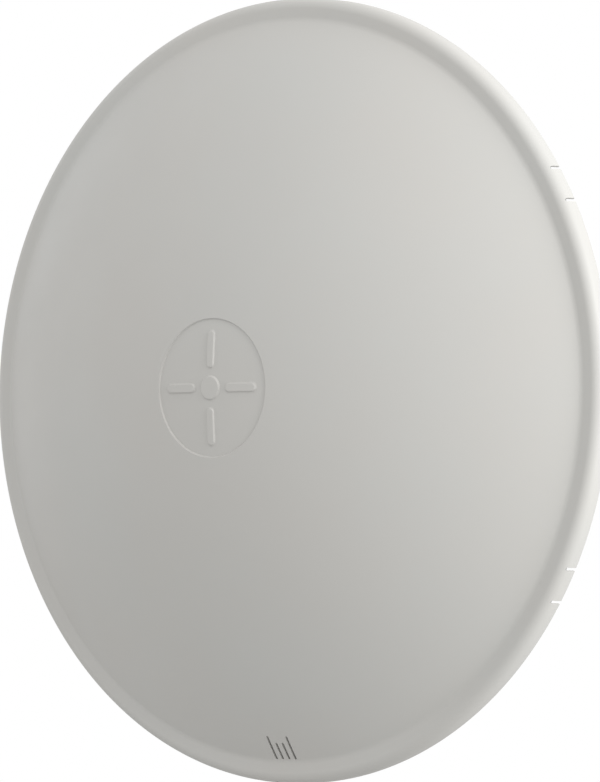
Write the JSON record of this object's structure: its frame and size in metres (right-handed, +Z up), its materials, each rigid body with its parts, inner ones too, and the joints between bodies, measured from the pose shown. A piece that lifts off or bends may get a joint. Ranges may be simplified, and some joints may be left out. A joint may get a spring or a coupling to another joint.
{
  "type": "microwave dish antenna",
  "caption": "Pole-mounted round microwave dish antenna: domed clip-on radome, parabolic reflector, rear feed, radio housing and a tilting clamp bracket.",
  "frame": {"origin": "on the pole's axis, level with the dish's centre", "axes": "+Z up along the pole, the dish looks along -Y, +X is to the right seen from in front of the dish"},
  "size_m": [0.47, 0.346, 0.47],
  "materials": {
    "radome_plastic": "satin UV-stable ABS, warm light grey",
    "white_coat": "white powder coat on aluminium sheet",
    "grey_plastic": "fine-textured light grey plastic",
    "zinc_steel": "bright zinc plate",
    "cast_aluminium": "as-cast, bead blasted",
    "bare_aluminium": "drawn and turned, bare",
    "black_rubber": "matt black silicone rubber",
    "board_green": "green solder mask",
    "nickel": "nickel-plated sheet",
    "white_polymer": "white low-loss foam-filled polymer",
    "clear_plastic": "clear moulded acrylic",
    "brass": "bright brass"
  },
  "bodies": {
    "pole_mount": {"pole_bracket": "zinc_steel", "clamp_bolt_left": "zinc_steel", "clamp_bolt_right": "zinc_steel"},
    "jaw": {"clamp_jaw": "zinc_steel", "clamp_washer_left": "zinc_steel", "clamp_washer_right": "zinc_steel", "clamp_nut_left": "zinc_steel", "clamp_nut_right": "zinc_steel"},
    "antenna": {"reflector_dish": "white_coat", "hub_casting": "cast_aluminium", "tilt_bracket": "zinc_steel", "feed_tube": "bare_aluminium", "feed_boot": "grey_plastic", "boot_seal": "black_rubber", "feed_cone": "white_polymer", "sub_reflector": "bare_aluminium", "feed_cap": "grey_plastic", "probe_board": "board_green", "hub_bolt_1": "zinc_steel", "hub_nut_1": "zinc_steel", "hub_bolt_2": "zinc_steel", "hub_nut_2": "zinc_steel", "hub_bolt_3": "zinc_steel", "hub_nut_3": "zinc_steel", "hub_bolt_4": "zinc_steel", "hub_nut_4": "zinc_steel", "radio_housing": "grey_plastic", "cover_seal": "black_rubber", "radio_cover": "grey_plastic", "circuit_board": "board_green", "shield_can": "nickel", "ethernet_jack": "nickel", "light_pipe": "clear_plastic", "door_pin": "zinc_steel", "cover_screw_1": "zinc_steel", "cover_screw_2": "zinc_steel", "cover_screw_3": "zinc_steel", "cover_screw_4": "zinc_steel", "ground_screw": "brass", "ground_lug": "brass", "vent_plug": "black_rubber", "pivot_bolt_left": "zinc_steel", "pivot_spacer_left": "zinc_steel", "pivot_washer_left": "zinc_steel", "pivot_nut_left": "zinc_steel", "lock_bolt_left": "zinc_steel", "lock_washer_left": "zinc_steel", "lock_nut_left": "zinc_steel", "pivot_bolt_right": "zinc_steel", "pivot_spacer_right": "zinc_steel", "pivot_washer_right": "zinc_steel", "pivot_nut_right": "zinc_steel", "lock_bolt_right": "zinc_steel", "lock_washer_right": "zinc_steel", "lock_nut_right": "zinc_steel"},
    "radome": {"radome_shell": "radome_plastic"},
    "door": {"port_door": "grey_plastic"},
    "button": {"reset_button": "black_rubber"}
  },
  "joints": [
    {"name": "clamp_slide", "type": "slide", "parent": "pole_mount", "child": "jaw", "axis": [0, 1, 0], "range_m": [-0.017, 0.019]},
    {"name": "tilt", "type": "hinge", "parent": "pole_mount", "child": "antenna", "pos_m": [0, -0.075, 0], "axis": [1, 0, 0], "range_deg": [-20, 20]},
    {"name": "radome_removal", "type": "slide", "parent": "antenna", "child": "radome", "axis": [0, -1, 0], "range_m": [0, 0.09]},
    {"name": "door_hinge", "type": "hinge", "parent": "antenna", "child": "door", "pos_m": [0, -0.0632, -0.0354], "axis": [1, 0, 0], "range_deg": [0, 85]},
    {"name": "button_press", "type": "slide", "parent": "antenna", "child": "button", "axis": [0, 0, 1], "range_m": [0, 0.001], "stiffness_N_per_m": 400, "springref_m": -0.001}
  ]
}
